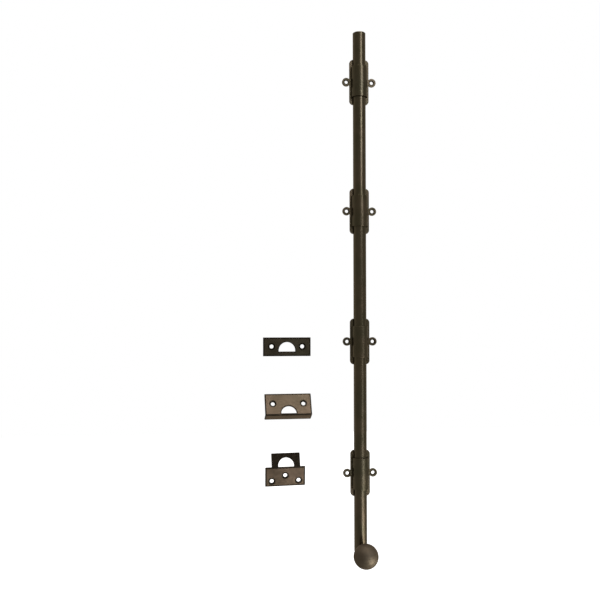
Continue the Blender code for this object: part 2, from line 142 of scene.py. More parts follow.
TEE_WIDTH = 0.0793
TEE_HEIGHT = 0.0392
TEE_LEAN = math.radians(12)             # the plate's foot is tipped back towards the wall
TONGUE_WIDTH = 0.0569
TONGUE_HEIGHT = 0.0279
TONGUE_LEAN = math.radians(14)          # and so is the tongue's top
TONGUE_SUNK = 0.0012                    # how far the tongue goes down into the plate
TONGUE_PLACE = (0.0015, 0.0006)         # sideways and back from the middle of the bend
TONGUE_WINDOW = ((0.0004, 0.0032), 0.0156, 0.0026)
TEE_PLACE = (-0.1517, -0.7712)
TEE_TURN = math.radians(-1.0)
TEE_HOLES = ((0, -0.0172), (-0.0266, -0.0283), (0.0266, -0.0283))

ARC_STEPS = 64                          # segments in a half circle
CORNER_STEPS = 14
EAR_STEPS = 44
HOLE_STEPS = 40
TURN_STEPS = 96
SLOT_STEPS = 16
FILLET_STEPS = 6
BALL_STEPS = 60
WAIST_STEPS = 24
WELD = 0.000005                         # points nearer than this are one
FLAT_ANGLE = math.radians(0.1)          # faces nearer than this to one plane are joined
SHARP = math.radians(38)                # a larger angle between faces is a sharp edge
FULL_BEND = math.radians(9)             # tilt of the faces beside a point that counts as fully on an edge or in a corner
SMALL_FACE = 0.00001                    # square metres; a larger face is not inside a screw hole
FLAT_AREA = 0.00006                     # a larger face is a flat, not part of a rounded edge
UPRIGHT = Matrix.Rotation(math.radians(90), 4, "X")      # local x, y, z to x, z, -y
SIDEWAYS = Matrix.Rotation(math.radians(90), 4, "Z") @ UPRIGHT   # local x, y, z to y, z, x


# ---- outlines ----------------------------------------------------------------
def arc(centre, radius, start, end, steps):
    points = []
    for i in range(steps + 1):
        angle = math.radians(start + (end - start) * i / steps)
        points.append((centre[0] + radius * math.cos(angle), centre[1] + radius * math.sin(angle)))
    return points


def circle(centre, radius):
    return arc(centre, radius, 0, 360, HOLE_STEPS)[:-1]


def rectangle(width, height, corner, centre=(0, 0)):
    x = width / 2 - corner
    y = height / 2 - corner
    points = []
    for sx, sy, start in ((1, -1, -90), (1, 1, 0), (-1, 1, 90), (-1, -1, 180)):
        points += arc((centre[0] + sx * x, centre[1] + sy * y), corner, start, start + 90,
                      FILLET_STEPS)
    return points


def stadium(radius, half_length):
    reach = half_length - radius
    return (arc((0, reach), radius, 0, 180, SLOT_STEPS)
            + arc((0, -reach), radius, 180, 360, SLOT_STEPS))


def half_round(centre, radius, straight, facing=1):
    """A half circle on short straight sides; centre is the circle's."""
    start = 0 if facing > 0 else 180
    points = arc(centre, radius, start, start + 180, ARC_STEPS)
    low = centre[1] - facing * straight
    return points + [(points[-1][0], low), (points[0][0], low)]


# ---- solids --------------------------------------------------------------------
def new_object(name, mesh):
    obj = bpy.data.objects.new(name, mesh)
    bpy.context.scene.collection.objects.link(obj)
    return obj


def reshape(mesh, *steps):
    """Put a mesh through steps that each change its bmesh."""
    shape = bmesh.new()
    shape.from_mesh(mesh)
    for step in steps:
        step(shape)
    shape.to_mesh(mesh)
    shape.free()


def join_near_points(shape):
    bmesh.ops.remove_doubles(shape, verts=shape.verts, dist=WELD)


def turn_faces_out(shape):
    bmesh.ops.recalc_face_normals(shape, faces=shape.faces)


def drop_slivers(shape):
    bmesh.ops.dissolve_degenerate(shape, dist=WELD, edges=shape.edges)


def join_flat_faces(shape):
    bmesh.ops.dissolve_limit(shape, angle_limit=FLAT_ANGLE, verts=shape.verts,
                             edges=shape.edges)


def extruded(name, loops, thickness, turn, place=(0, 0, 0)):
    """A flat outline of one outer loop and any holes, given a thickness."""
    curve = bpy.data.curves.new(name, "CURVE")
    curve.dimensions = "2D"
    curve.fill_mode = "BOTH"
    curve.extrude = thickness / 2
    for loop in loops:
        spline = curve.splines.new("POLY")
        spline.points.add(len(loop) - 1)
        for point, (x, y) in zip(spline.points, loop):
            point.co = (x, y, 0, 1)
        spline.use_cyclic_u = True
    outline = new_object(name, curve)
    bpy.context.view_layer.update()
    evaluated = outline.evaluated_get(bpy.context.evaluated_depsgraph_get())
    mesh = bpy.data.meshes.new_from_object(evaluated)
    bpy.data.objects.remove(outline)
    reshape(mesh, join_near_points, turn_faces_out, join_flat_faces)
    mesh.transform(Matrix.Translation(place) @ turn)
    return new_object(name, mesh)


def settle(obj):
    """Turn an object's modifiers into its plain mesh."""
    bpy.context.view_layer.update()
    evaluated = obj.evaluated_get(bpy.context.evaluated_depsgraph_get())
    mesh = bpy.data.meshes.new_from_object(evaluated)
    obj.modifiers.clear()
    obj.data = mesh


def turned(name, profile, place=(0, 0), closed=False, steps=TURN_STEPS):
    """A profile of (radius, height over the wall) turned about an axis along Y."""
    mesh = bpy.data.meshes.new(name)
    edges = [(i, i + 1) for i in range(len(profile) - 1)]
    if closed:
        edges.append((len(profile) - 1, 0))
    mesh.from_pydata([(radius, 0, height) for radius, height in profile], edges, [])
    obj = new_object(name, mesh)
    screw = obj.modifiers.new("turn", "SCREW")
    screw.steps = steps
    screw.render_steps = steps
    screw.use_merge_vertices = True
    screw.merge_threshold = WELD
    settle(obj)
    reshape(obj.data, join_flat_faces)
    obj.data.transform(Matrix.Translation((place[0], 0, place[1])) @ UPRIGHT)
    return obj


def combine(obj, tool, operation="DIFFERENCE"):
    """Cut a tool out of a solid, or join it on; the tool is used up."""
    modifier = obj.modifiers.new(operation, "BOOLEAN")
    modifier.operation = operation
    modifier.object = tool
    settle(obj)
    reshape(obj.data, join_near_points, drop_slivers)
    bpy.data.objects.remove(tool)


def soften(obj, width, segments, angle, chosen=None):
    """Round the sharp edges; chosen may pick them by the places of their ends."""
    def bevel(shape):
        edges = []
        for edge in shape.edges:
            if edge.calc_face_angle(0) > math.radians(angle):
                if chosen is None or all(chosen(vert.co) for vert in edge.verts):
                    edges.append(edge)
        bmesh.ops.bevel(shape, geom=edges, offset=width, segments=segments, profile=0.5,
                        affect="EDGES", clamp_overlap=True)

    reshape(obj.data, join_flat_faces, bevel)


def mark_edges(mesh):
    """Store how exposed each point is: 1 on a rounded outer edge, -1 in a corner, 0 on a face."""
    shape = bmesh.new()
    shape.from_mesh(mesh)
    values = []
    for vert in shape.verts:
        normal = Vector((0, 0, 0))
        for face in vert.link_faces:
            normal += face.normal * face.calc_area()
        bend = sum(edge.calc_face_angle_signed(0) for edge in vert.link_edges)
        if normal.length == 0:
            values.append(0.0)
            continue
        least = min(normal.angle(face.normal, 0) for face in vert.link_faces)
        beside_flat = any(face.calc_area() > FLAT_AREA for face in vert.link_faces)
        values.append(0.0 if beside_flat else math.copysign(min(least / FULL_BEND, 1), bend))
    shape.free()
    attribute = mesh.attributes.new("edge_bend", "FLOAT", "POINT")
    attribute.data.foreach_set("value", values)


def mark_holes(mesh, places, radius, holder=Matrix.Identity(4)):
    """Store which small faces lie inside the screw holes, which the material darkens as painted
    shade.
    """
    own_axes = holder.inverted()
    values = []
    for face in mesh.polygons:
        spot = own_axes @ face.center
        near = any(math.hypot(spot.x - x, spot.z - z) < radius for x, z in places)
        values.append(float(near and face.area < SMALL_FACE))
    if "in_hole" in mesh.attributes:
        mesh.attributes.remove(mesh.attributes["in_hole"])
    mesh.attributes.new("in_hole", "FLOAT", "FACE").data.foreach_set("value", values)


def give_material(mesh, material):
    mesh.materials.clear()
    mesh.materials.append(material)


def finish(obj, body, node, material):
    """Give a piece its shading, material and place in the frame."""
    reshape(obj.data, join_near_points, drop_slivers)
    obj.data.shade_smooth()
    obj.data.set_sharp_from_angle(angle=SHARP)
    flats = obj.modifiers.new("keep_flats_flat", "WEIGHTED_NORMAL")
    flats.weight = 100
    flats.keep_sharp = True
    settle(obj)
    mark_edges(obj.data)
    give_material(obj.data, material)
    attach(obj, body)
    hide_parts(node)


# ---- materials -------------------------------------------------------------------
DARK = (0.064, 0.052, 0.027)
BROWN = (0.084, 0.062, 0.036)
GREEN = (0.052, 0.050, 0.028)
# tone of the machining lines and of rubbed edges; on edges it is partly a painted highlight
RUBBED_AND_SHEEN = (0.17, 0.125, 0.08)
# tone of the painted shade in corners, creases and screw holes
PAINTED_SHADE = (0.012, 0.010, 0.006)
# painted light: the angle strike's tones are a lighter copy of the bronze, as if lit
LIT_ANGLE_DARK = (0.105, 0.074, 0.048)
LIT_ANGLE_LIGHT = (0.150, 0.106, 0.070)
WARM_RUBBED = (0.26, 0.19, 0.13)
# painted light: the tee's tones are a lighter copy of the bronze, as if lit
LIT_TEE_DARK = (0.082, 0.058, 0.038)
LIT_TEE_LIGHT = (0.118, 0.084, 0.055)
# painted shade: the flat strike's tones are a darker copy of the bronze, as if in shade
SHADED_FLAT_DARK = (0.044, 0.036, 0.024)
SHADED_FLAT_LIGHT = (0.064, 0.050, 0.034)
BALL_DARK = (0.088, 0.067, 0.046)
BALL_LIGHT = (0.122, 0.093, 0.064)
# tone of the painted shade bands on the strikes
SHADE_RIM = (0.014, 0.011, 0.007)
EDGE_TINT = (0.66, 0.61, 0.56)
SHADE_BAND = 0.0027                         # widths of the painted shade bands on the strikes
HOLE_SHADE_BAND = 0.0016
FOLD_DEPTH = 0.0022                     # how far the painted shade of a fold goes back and up
FOLD_HEIGHT = 0.0024
BLUR = 0.0003                           # half the width over which a band fades out
LINE_SHARE = 0.14                       # shares of the tones that are laid over the base colour
CLOUD_SHARE = 0.45
WEAR_AND_SHEEN_SHARE = 0.5
SHADE_BAND_SHARE = 0.95
CORNER_SHADE_SHARE = 0.15
HOLE_SHADE_SHARE = 0.85
RELIEF = 0.00001                        # height of the machining lines
STEEL_RELIEF = 0.00002
GLOSS_DOWN, GLOSS_UP = 0.03, 0.04       # spread of the roughness round its middle
WORN_GLOSS = 0.05                       # and how much smoother a rubbed edge is
COAT = 0.12
COAT_ROUGHNESS = 0.3
STEEL_DARK = (0.34, 0.33, 0.31)
STEEL_LIGHT = (0.47, 0.46, 0.43)
STEEL_STAIN = (0.17, 0.14, 0.11)
ALONG_ROD = (1, 1, 0.03)                # stretch of the machining lines
ACROSS_PLATE = (0.05, 1, 1)
CAST = (1, 1, 1)                        # even in all directions
RANGE_SOCKETS = (1, 2, 3, 4)            # from low, from high, to low, to high


class Nodes:
    """Short calls for building one material's node tree."""

    def __init__(self, name):
        self.material = bpy.data.materials.new(name)
        self.material.use_nodes = True
        self.tree = self.material.node_tree
        self.shader = self.tree.nodes["Principled BSDF"]
        self.place = self.add("ShaderNodeTexCoord").outputs["Object"]

    def add(self, kind, **settings):
        node = self.tree.nodes.new(kind)
        for name, value in settings.items():
            setattr(node, name, value)
        return node

    def wire(self, source, target):
        if hasattr(source, "is_linked"):
            self.tree.links.new(source, target)
        else:
            target.default_value = source

    def noise(self, scale, detail, stretch=CAST):
        """Noise with features about 1 / scale metres across."""
        mapping = self.add("ShaderNodeMapping")
        mapping.inputs["Scale"].default_value = stretch
        self.wire(self.place, mapping.inputs["Vector"])
        noise = self.add("ShaderNodeTexNoise")
        noise.inputs["Scale"].default_value = scale
        noise.inputs["Detail"].default_value = detail
        self.wire(mapping.outputs["Vector"], noise.inputs["Vector"])
        return noise.outputs["Fac"]

    def spread(self, value, low, high, to_low=0.0, to_high=1.0):
        node = self.add("ShaderNodeMapRange")
        for index, number in zip(RANGE_SOCKETS, (low, high, to_low, to_high)):
            node.inputs[index].default_value = number
        self.wire(value, node.inputs[0])
        return node.outputs[0]

    def maths(self, operation, first, second, clamp=False):
        node = self.add("ShaderNodeMath", operation=operation, use_clamp=clamp)
        self.wire(first, node.inputs[0])
        self.wire(second, node.inputs[1])
        return node.outputs[0]

    def blend(self, share, first, second):
        node = self.add("ShaderNodeMix", data_type="RGBA")
        self.wire(share, node.inputs[0])
        for value, target in ((first, node.inputs[6]), (second, node.inputs[7])):
            self.wire((*value, 1.0) if isinstance(value, tuple) else value, target)
        return node.outputs[2]

    def own_axes(self, holder):
        """The place in a plate's own axes, and that place brought onto the plate's face."""
        mapping = self.add("ShaderNodeMapping", vector_type="TEXTURE")
        mapping.inputs["Location"].default_value = holder.to_translation()
        mapping.inputs["Rotation"].default_value = holder.to_euler()
        self.wire(self.place, mapping.inputs["Vector"])
        split = self.add("ShaderNodeSeparateXYZ")
        self.wire(mapping.outputs["Vector"], split.inputs[0])
        flat = self.add("ShaderNodeCombineXYZ")
        self.wire(split.outputs["X"], flat.inputs["X"])
        self.wire(split.outputs["Z"], flat.inputs["Z"])
        return split.outputs["X"], split.outputs["Y"], split.outputs["Z"], flat.outputs[0]

    def beyond(self, value, reach):
        """1 where the value is larger than the reach."""
        return self.spread(value, reach - BLUR, reach + BLUR)

    def within(self, flat, centre, reach):
        """1 inside a circle on a plate's face."""
        node = self.add("ShaderNodeVectorMath", operation="DISTANCE")
        self.wire(flat, node.inputs[0])
        node.inputs[1].default_value = (centre[0], 0, centre[1])
        return self.spread(node.outputs["Value"], reach - BLUR, reach + BLUR, 1.0, 0.0)

    def bump(self, height, distance):
        node = self.add("ShaderNodeBump")
        node.inputs["Strength"].default_value = 1.0
        node.inputs["Distance"].default_value = distance
        self.wire(height, node.inputs["Height"])
        self.wire(node.outputs["Normal"], self.shader.inputs["Normal"])


def painted_shade_bands(m, holder, width, low, high, holes, window=None, lip=None):
    """1 where a strike gets painted shade: along a plate's outline and round its holes.

    The plate reaches from low to high in its own axes; window is (centre, radius, straight).
    Whatever stands beyond the outline, such as the tongue above its plate, gets the painted shade as
    well.
    A lip, folded back at height 0, gets painted shade along the fold and along its free edge.
    """
    x, y, z, flat = m.own_axes(holder)
    shares = [m.beyond(m.maths("ABSOLUTE", x, 0.0), width / 2 - SHADE_BAND), m.beyond(z, high - SHADE_BAND),
              m.beyond(m.maths("MULTIPLY", z, -1.0), -low - SHADE_BAND)]
    shares += [m.within(flat, place, STRIKE_SINK_RADIUS + HOLE_SHADE_BAND) for place in holes]
    if window is not None:
        centre, radius, straight = window
        above = m.beyond(z, centre[1] - straight - HOLE_SHADE_BAND)
        shares.append(m.maths("MINIMUM", above, m.within(flat, centre, radius + HOLE_SHADE_BAND)))
    if lip is not None:
        fold = m.maths("MINIMUM", m.spread(y, FOLD_DEPTH, FOLD_DEPTH + 2 * BLUR, 1.0, 0.0),
                       m.spread(z, FOLD_HEIGHT, FOLD_HEIGHT + 2 * BLUR, 1.0, 0.0))
        shares += [fold, m.beyond(y, lip - SHADE_BAND)]
    total = shares[0]
    for share in shares[1:]:
        total = m.maths("MAXIMUM", total, share)
    return total


def bronze(name, dark, warm, rubbed, roughness, grain, coat=0.0, plate=None):
    """Oil-rubbed bronze: mottled brown over dark, rubbed edges, fine machining lines; the rubbed
    edges are partly a painted highlight, and corners and screw holes get painted shade.

    dark and warm are the two mottled tones, rubbed is the tone of the machining lines, and
    plate holds what the painted shade bands need for a strike, whose edges get painted shade instead
    of rubbed edges.
    """
    m = Nodes(name)
    mottle = m.spread(m.noise(42, 4), 0.36, 0.66)
    cloud = m.spread(m.noise(11, 2), 0.42, 0.70)
    lines = m.noise(1400, 2, grain)
    speckle = m.noise(2600, 2)
    colour = m.blend(mottle, dark, warm)
    colour = m.blend(m.maths("MULTIPLY", cloud, CLOUD_SHARE), colour, GREEN)
    colour = m.blend(m.maths("MULTIPLY", m.spread(lines, 0.45, 0.75), LINE_SHARE), colour, rubbed)

    edge = m.add("ShaderNodeAttribute", attribute_name="edge_bend").outputs["Fac"]
    patchy = m.spread(m.noise(160, 3), 0.34, 0.62, 0.5, 1.0)
    wear_and_sheen = m.maths("MULTIPLY", m.spread(edge, 0.25, 1.0), patchy, clamp=True)
    # painted shade: points in corners and creases between faces are darkened
    corner_shade = m.spread(edge, 0.0, -0.8)
    hole = m.add("ShaderNodeAttribute", attribute_name="in_hole").outputs["Fac"]
    if plate is None:
        # rubbed edges: real wear, lightened further as a painted highlight on the rounded edges
        colour = m.blend(m.maths("MULTIPLY", wear_and_sheen, WEAR_AND_SHEEN_SHARE), colour, RUBBED_AND_SHEEN)
    else:
        # painted shade: dark bands along a strike's outline, round its holes and window, in its fold
        # and over the tongue
        shade_band = m.maths("MULTIPLY", painted_shade_bands(m, *plate), m.spread(patchy, 0.5, 1.0, 0.85, 1.0))
        colour = m.blend(m.maths("MULTIPLY", shade_band, SHADE_BAND_SHARE), colour, SHADE_RIM)
    colour = m.blend(m.maths("MULTIPLY", corner_shade, CORNER_SHADE_SHARE), colour, PAINTED_SHADE)
    # painted shade: faces inside the screw holes are darkened
    colour = m.blend(m.maths("MULTIPLY", hole, HOLE_SHADE_SHARE), colour, PAINTED_SHADE)
    m.wire(colour, m.shader.inputs["Base Color"])

    gloss = m.spread(m.maths("ADD", mottle, speckle), 0.2, 1.7,
                     roughness - GLOSS_DOWN, roughness + GLOSS_UP)
    gloss = m.maths("SUBTRACT", gloss, m.maths("MULTIPLY", wear_and_sheen, WORN_GLOSS))
    m.wire(gloss, m.shader.inputs["Roughness"])
    m.shader.inputs["Metallic"].default_value = 1.0
    m.shader.inputs["Specular Tint"].default_value = (*EDGE_TINT, 1.0)
    m.shader.inputs["Coat Weight"].default_value = coat
    m.shader.inputs["Coat Roughness"].default_value = COAT_ROUGHNESS
    relief = m.maths("ADD", m.maths("MULTIPLY", lines, 0.5), m.maths("MULTIPLY", speckle, 0.6))
    m.bump(relief, RELIEF)
    return m.material


def brushed_steel(name):
    """Plain zinc-bright steel of the hidden springs, rivets, pin and screw."""
    m = Nodes(name)
    lines = m.noise(1800, 2, (1, 1, 0.08))
    stain = m.spread(m.noise(240, 3), 0.40, 0.72)
    colour = m.blend(m.spread(lines, 0.3, 0.7), STEEL_DARK, STEEL_LIGHT)
    colour = m.blend(m.maths("MULTIPLY", stain, 0.5), colour, STEEL_STAIN)
    m.wire(colour, m.shader.inputs["Base Color"])
    m.wire(m.spread(lines, 0.2, 0.8, 0.28, 0.44), m.shader.inputs["Roughness"])
    m.shader.inputs["Metallic"].default_value = 1.0
    m.bump(lines, STEEL_RELIEF)
    return m.material


# ---- guides ------------------------------------------------------------------------
def flange_outline():
    """Rounded plate with a round ear on each side, counter-clockwise."""
    x = FLANGE_WIDTH / 2 - FLANGE_CORNER
    z = guide_high.z - FLANGE_CORNER
    reach = 180 - math.degrees(math.acos((EAR_OFFSET - FLANGE_WIDTH / 2) / EAR_RADIUS))
    points = arc((x, -z), FLANGE_CORNER, -90, 0, CORNER_STEPS)
    points += arc((EAR_OFFSET, 0), EAR_RADIUS, -reach, reach, EAR_STEPS)
    points += arc((x, z), FLANGE_CORNER, 0, 90, CORNER_STEPS)
    points += arc((-x, z), FLANGE_CORNER, 90, 180, CORNER_STEPS)
    points += arc((-EAR_OFFSET, 0), EAR_RADIUS, 180 - reach, 180 + reach, EAR_STEPS)
    points += arc((-x, -z), FLANGE_CORNER, 180, 270, CORNER_STEPS)
    return points


def sleeve_outline():
    """Half-round sleeve section whose feet flare into the flange's face."""
    foot = FLANGE_THICKNESS - SLEEVE_SUNK
    flare = SLEEVE_FLARE
    heel = FLANGE_THICKNESS + flare
    points = [(SLEEVE_RADIUS + flare, -foot)]
    points += arc((SLEEVE_RADIUS + flare, -heel), flare, 90, 180, FILLET_STEPS)
    points += arc((0, -ROD_CENTRE - flare * 0.4), SLEEVE_RADIUS, 0, -180, ARC_STEPS)
    points += arc((-SLEEVE_RADIUS - flare, -heel), flare, 0, 90, FILLET_STEPS)
    points.append((-SLEEVE_RADIUS - flare, -foot))
    return points


def guide_mesh():
    ears = [circle((side * EAR_OFFSET, 0), EAR_HOLE_RADIUS) for side in (-1, 1)]
    guide = extruded("guide_casting", [flange_outline()] + ears, FLANGE_THICKNESS, UPRIGHT,
                     (0, -FLANGE_THICKNESS / 2, 0))
    soften(guide, FLANGE_EDGE, 4, 40, lambda co: co.y < -FLANGE_THICKNESS / 2)
    soften(guide, BACK_EDGE, 2, 40, lambda co: co.y > -WELD)

    sleeve = extruded("sleeve", [sleeve_outline()], SLEEVE_LENGTH, Matrix.Identity(4))
    soften(sleeve, SLEEVE_EDGE, 5, 40, lambda co: co.y < -FLANGE_THICKNESS)
    combine(guide, sleeve, "UNION")

    bore = ROD_RADIUS + ROD_CLEARANCE
    tunnel = extruded("tunnel", [half_round((0, -ROD_CENTRE), bore, ROD_CENTRE - TRACK_HEIGHT,
                                            facing=-1)],
                      guide_high.z * 2 + TUNNEL_EXTRA, Matrix.Identity(4))
    combine(guide, tunnel)
    for name, radius, half_length, x in (
            ("spring_pocket", POCKET_RADIUS, POCKET_HALF_LENGTH, 0),
            ("stop_slot", SLOT_RADIUS, THROW / 2 + SLOT_RADIUS, SLOT_OFFSET)):
        combine(guide, extruded(name, [stadium(radius, half_length)], POCKET_DEPTH, UPRIGHT,
                                (x, -POCKET_FLOOR - POCKET_DEPTH / 2, 0)))
    top = FLANGE_THICKNESS + CLEAR
    sink = [(0, top), (EAR_HOLE_RADIUS + EAR_SINK + CLEAR, top),
            (EAR_HOLE_RADIUS, FLANGE_THICKNESS - EAR_SINK), (0, FLANGE_THICKNESS - EAR_SINK)]
    for side in (-1, 1):
        combine(guide, turned("ear_sink", sink, (side * EAR_OFFSET, 0), steps=HOLE_STEPS))
    combine(guide, turned("rivet_hole", RIVET_HOLE, (0, -RIVET_DROP), steps=HOLE_STEPS))
    mesh = guide.data
    mark_holes(mesh, [(side * EAR_OFFSET, 0) for side in (-1, 1)], EAR_HOLE_RADIUS + EAR_SINK)
    bpy.data.objects.remove(guide)
    return mesh


def add_guides():
    casting = guide_mesh()
    for node in GUIDES:
        low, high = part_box(node)
        mesh = casting.copy()
        mesh.transform(Matrix.Translation((0, 0, (low.z + high.z) / 2)))
        material = bronze("bronze_" + node, DARK, BROWN, RUBBED_AND_SHEEN, roughness=0.32, grain=CAST,
                          coat=COAT)
        finish(new_object(node + "_cast", mesh), "fixed_set", node, material)


# ---- rod and knob ---------------------------------------------------------------------
def add_rod():
    length = rod_high.z - rod_low.z
    rod = extruded("rod_bar", [half_round((0, -ROD_CENTRE), ROD_RADIUS, ROD_CENTRE - ROD_BACK,
                                          facing=-1)],
                   length, Matrix.Identity(4), (0, 0, (rod_high.z + rod_low.z) / 2))
    soften(rod, ROD_CHAMFER, 1, 40, lambda co: co.z > rod_high.z - WELD)

    side = ROD_RADIUS + PAST
    foot = rod_low.z - PAST
    corner = arc((0, KNOB_HEIGHT), ROD_RADIUS, 180, 360, ARC_STEPS)
    corner += [(side, KNOB_HEIGHT), (side, foot), (-side, foot), (-side, KNOB_HEIGHT)]
    combine(rod, extruded("rod_end", [corner], ROD_END_TOOL, UPRIGHT))
    soften(rod, ROD_EDGE, 3, 28)

    reach = NECK_BASE_RADIUS + GAP
    seat = NECK_FOOT - GAP
    pocket = [(0, ABOVE_ROD), (reach, ABOVE_ROD), (reach, seat), (0, seat)]
    combine(rod, turned("neck_seat", pocket, (0, KNOB_HEIGHT)))
    head = ROD_BACK + GAP + SCREW_HEAD
    spread = SCREW_BORE_RADIUS + head - ROD_BACK
    bore = [(0, ABOVE_ROD), (SCREW_BORE_RADIUS, ABOVE_ROD), (SCREW_BORE_RADIUS, head),
            (spread + CLEAR, ROD_BACK - CLEAR), (0, ROD_BACK - CLEAR)]
    combine(rod, turned("screw_bore", bore, (0, KNOB_HEIGHT), steps=HOLE_STEPS))
    pin_low, pin_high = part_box("stop_pin")
    radius = (pin_high.x - pin_low.x) / 2 + GAP
    depth = -pin_low.y + GAP
    pin_hole = [(0, depth), (radius, depth), (radius, CLEAR), (0, CLEAR)]
    combine(rod, turned("pin_hole", pin_hole, (SLOT_OFFSET, (pin_low.z + pin_high.z) / 2),
                        steps=HOLE_STEPS))
    material = bronze("bronze_rod", DARK, BROWN, RUBBED_AND_SHEEN, roughness=0.30, grain=ALONG_ROD,
                      coat=COAT)
    finish(rod, "bolt", "rod", material)


def add_knob():
    socket = NECK_RADIUS + GAP
    mouth = BALL_CENTRE - math.sqrt(BALL_RADIUS ** 2 - socket ** 2)
    spigot_end = mouth + SPIGOT_LENGTH
    last = -math.degrees(math.acos(socket / BALL_RADIUS))
    profile = arc((0, BALL_CENTRE), BALL_RADIUS, 90, last + BALL_MOUTH, BALL_STEPS)
    profile[0] = (0, BALL_CENTRE + BALL_RADIUS)
    profile += [(socket + MOUTH_EDGE, mouth + 0.00005), (socket, mouth + MOUTH_EDGE),
                (socket, spigot_end + GAP), (BALL_BORE_RADIUS, spigot_end + GAP),
                (BALL_BORE_RADIUS, BALL_BORE_END), (0, BALL_BORE_END)]
    ball = turned("ball_turned", profile, (0, KNOB_HEIGHT))
    finish(ball, "bolt", "knob_ball",
           bronze("bronze_ball", BALL_DARK, BALL_LIGHT, WARM_RUBBED, roughness=0.60, grain=CAST))

    top = mouth - GAP
    foot = NECK_FOOT
    waist_top = top - WAIST_TOP
    waist_foot = foot + WAIST_FOOT
    profile = [(NECK_RADIUS, spigot_end), (NECK_RADIUS, top)]
    profile += arc((COLLAR_RADIUS - NECK_EDGE, top - NECK_EDGE), NECK_EDGE, 90, 0, 4)
    for i in range(WAIST_STEPS + 1):
        along = i / WAIST_STEPS
        bulge = min(abs(2 * along - 0.9) ** 2, 1)
        profile.append((NECK_RADIUS + (NECK_BASE_RADIUS - NECK_EDGE - NECK_RADIUS) * bulge,
                        waist_top + (waist_foot - waist_top) * along))
    profile += arc((NECK_BASE_RADIUS - NECK_EDGE, foot + NECK_RIM), NECK_EDGE, 90, 0, 4)
    profile += arc((NECK_BASE_RADIUS - NECK_FOOT_EDGE, foot + NECK_FOOT_EDGE), NECK_FOOT_EDGE,
                   0, -90, 3)
    profile += [(SCREW_BORE_RADIUS, foot), (SCREW_BORE_RADIUS, spigot_end)]
    neck = turned("neck_turned", profile, (0, KNOB_HEIGHT), closed=True)
    finish(neck, "bolt", "knob_neck",
           bronze("bronze_neck", DARK, BROWN, RUBBED_AND_SHEEN, roughness=0.36, grain=CAST))


# ---- strikes --------------------------------------------------------------------------
def cut_sunk_holes(plate, places, holder):
    """Countersunk screw holes, at places in a plate's own axes; its front face is at height 0."""
    rise = STRIKE_SINK_RADIUS - STRIKE_HOLE_RADIUS
    profile = [(0, CLEAR), (STRIKE_SINK_RADIUS + CLEAR, CLEAR), (STRIKE_HOLE_RADIUS, -rise),
               (STRIKE_HOLE_RADIUS, -HOLE_TOOL), (0, -HOLE_TOOL)]
    for place in places:
        tool = turned("sunk_hole", profile, place, steps=HOLE_STEPS)
        tool.data.transform(holder)
        combine(plate, tool)
    mark_holes(plate.data, places, STRIKE_SINK_RADIUS, holder)


def add_flat_strike():
    centre = (flat_low + flat_high) / 2
    holder = Matrix.Translation((centre.x, -STRIKE_THICKNESS, centre.z))
    width = flat_high.x - flat_low.x
    loops = [rectangle(width, FLAT_HEIGHT, FLAT_CORNER), half_round(*FLAT_WINDOW)]
    plate = extruded("flat_strike_plate", loops, STRIKE_THICKNESS, UPRIGHT,
                     (0, STRIKE_THICKNESS / 2, 0))
    soften(plate, FLAT_EDGE, 4, 40, lambda co: co.y < WELD and (
        abs(co.x) > width / 2 - 0.001 or abs(co.z) > FLAT_HEIGHT / 2 - 0.001))
    soften(plate, FLAT_INNER_EDGE, 2, 60)
    plate.data.transform(holder)
    cut_sunk_holes(plate, FLAT_HOLES, holder)
    finish(plate, "fixed_set", "flat_strike",
           bronze("dark_bronze", SHADED_FLAT_DARK, SHADED_FLAT_LIGHT, RUBBED_AND_SHEEN, roughness=0.38,
                  grain=ACROSS_PLATE,
                  plate=(holder, width, -FLAT_HEIGHT / 2, FLAT_HEIGHT / 2, FLAT_HOLES,
                         FLAT_WINDOW)))


def strike_holder(place, depth, turn):
    """Matrix that carries a strike's own axes to its place on the wall."""
    return Matrix.Translation((place[0], -depth, place[1])) @ Matrix.Rotation(turn, 4, "Y")


def add_angle_strike():
    """Right-angle strike lying on its two long edges, with its bend outermost."""
    t = STRIKE_THICKNESS
    lean = math.atan((ANGLE_LIP - t) / (ANGLE_LEG - t))
    depth = ANGLE_LEG * math.sin(lean) + t * math.cos(lean) + GAP
    holder = strike_holder(ANGLE_PLACE, depth, ANGLE_TURN) @ Matrix.Rotation(-lean, 4, "X")
    loop = [(0, ANGLE_LEG)]
    loop += arc((ANGLE_BEND, ANGLE_BEND), ANGLE_BEND, 180, 270, CORNER_STEPS)
    loop += [(ANGLE_LIP, 0), (ANGLE_LIP, t), (t, t), (t, ANGLE_LEG)]
    angle = extruded("angle_strike_plate", [loop], ANGLE_WIDTH, SIDEWAYS)
    end = ANGLE_WIDTH / 2 - WELD
    soften(angle, WARM_EDGE, 4, 40, lambda co: co.y < 0.0001 or co.z < 0.0001 or abs(co.x) > end)
    combine(angle, extruded("window", [half_round(*ANGLE_WINDOW)], WINDOW_TOOL, UPRIGHT))
    angle.data.transform(holder)
    cut_sunk_holes(angle, ANGLE_HOLES, holder)
    finish(angle, "fixed_set", "angle_strike",
           bronze("lit_warm_bronze_angle", LIT_ANGLE_DARK, LIT_ANGLE_LIGHT, WARM_RUBBED, roughness=0.42,
                  grain=ACROSS_PLATE,
                  plate=(holder, ANGLE_WIDTH, -ANGLE_LEG, ANGLE_LEG, ANGLE_HOLES, ANGLE_WINDOW,
                         ANGLE_LIP)))


